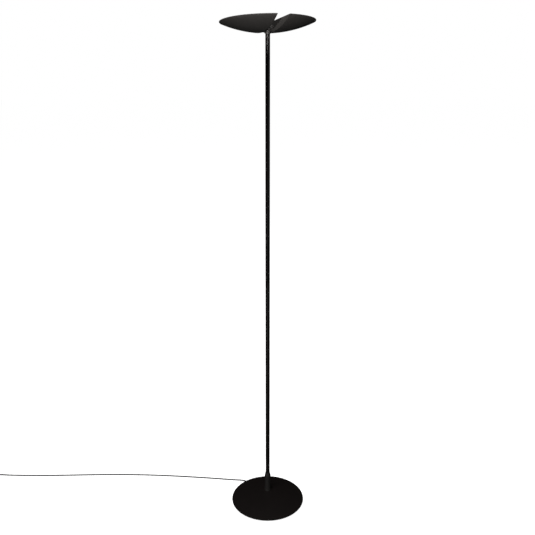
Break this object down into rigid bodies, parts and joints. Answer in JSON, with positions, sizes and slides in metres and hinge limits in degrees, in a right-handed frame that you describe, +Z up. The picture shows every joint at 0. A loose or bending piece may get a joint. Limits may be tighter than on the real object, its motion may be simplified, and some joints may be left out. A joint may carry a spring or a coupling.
{
  "type": "torchiere floor lamp",
  "caption": "Slim black uplighter floor lamp: a shallow dish head split into two leaves, tipping and turning on a thin pole over a flat round base, with a foot dimmer on the cord",
  "frame": {"origin": "on the floor, under the centre of the round base disc", "axes": "+Z is up along the pole, -Y is the front of the base, +X is to the right seen from the front; the pole stands behind the centre, towards +Y"},
  "size_m": [1.4771, 0.3796, 1.8121],
  "materials": {
    "black_paint": "satin powder coat, near black with a warm cast",
    "charcoal_paint": "matt powder coat, dark charcoal with a warm cast",
    "bare_steel": "zinc plated steel",
    "aluminium": "rolled sheet, brushed",
    "opal": "satin opal acrylic",
    "board_white": "white solder resist",
    "black_rubber": "dull moulded rubber",
    "cord_jacket": "smooth black flexible jacket",
    "black_plastic": "fine textured black plastic",
    "fibre": "graphite-filled fibre washer",
    "white_plastic": "white moulded housing",
    "nickel": "nickel plated brass, bright"
  },
  "bodies": {
    "stand": {"base_disc": "black_paint", "base_pad": "black_rubber", "cord_clip": "bare_steel", "cord_clip_screw_1": "bare_steel", "cord_clip_screw_2": "bare_steel", "base_screw_1": "bare_steel", "base_screw_2": "bare_steel", "base_screw_3": "bare_steel", "strain_relief": "black_rubber", "pole_socket": "charcoal_paint", "socket_set_screw": "bare_steel", "pole_lower": "black_paint", "pole_upper": "black_paint", "pole_coupler": "bare_steel", "inner_lead": "cord_jacket", "swivel_bush": "black_plastic", "floor_cord": "cord_jacket", "dimmer_base": "black_plastic", "dimmer_cover": "black_plastic", "dimmer_board": "board_white", "dimmer_screw_1": "bare_steel", "dimmer_screw_2": "bare_steel", "coil_feed": "cord_jacket", "cord_coil": "cord_jacket", "coil_tie": "black_plastic", "plug_cord": "cord_jacket", "plug_body": "black_plastic", "plug_pin_1": "nickel", "plug_pin_2": "nickel"},
    "swivel": {"knuckle": "charcoal_paint", "retaining_ring": "bare_steel"},
    "head": {"hinge_axle": "bare_steel", "friction_washer_right": "fibre", "friction_washer_left": "fibre", "leaf_shell_right": "charcoal_paint", "leaf_shell_left": "charcoal_paint", "spring_washer_right": "bare_steel", "spring_washer_left": "bare_steel", "axle_nut_right": "bare_steel", "axle_nut_left": "bare_steel", "led_driver_right": "white_plastic", "led_driver_left": "white_plastic", "mains_tail_right": "cord_jacket", "mains_tail_left": "cord_jacket", "heat_plate_right": "aluminium", "heat_plate_left": "aluminium", "plate_screw_right_1": "bare_steel", "plate_screw_right_2": "bare_steel", "plate_screw_right_3": "bare_steel", "plate_screw_left_1": "bare_steel", "plate_screw_left_2": "bare_steel", "plate_screw_left_3": "bare_steel", "led_board_right": "board_white", "led_board_left": "board_white", "board_wire_right": "cord_jacket", "board_wire_left": "cord_jacket", "diffuser_right": "opal", "diffuser_left": "opal"},
    "button": {"dimmer_button": "black_plastic"}
  },
  "joints": [
    {"name": "head_swivel", "type": "hinge", "parent": "stand", "child": "swivel", "pos_m": [0, 0.053, 1.763], "axis": [0, 0, 1], "range_deg": [-175, 175]},
    {"name": "head_tilt", "type": "hinge", "parent": "swivel", "child": "head", "pos_m": [0, 0.053, 1.783], "axis": [0.9478, 0.319, 0], "range_deg": [-86.6, 93.4]},
    {"name": "dimmer_press", "type": "slide", "parent": "stand", "child": "button", "axis": [0, 0, -1], "range_m": [0, 0.0015], "stiffness_N_per_m": 400, "springref_m": -0.002}
  ]
}
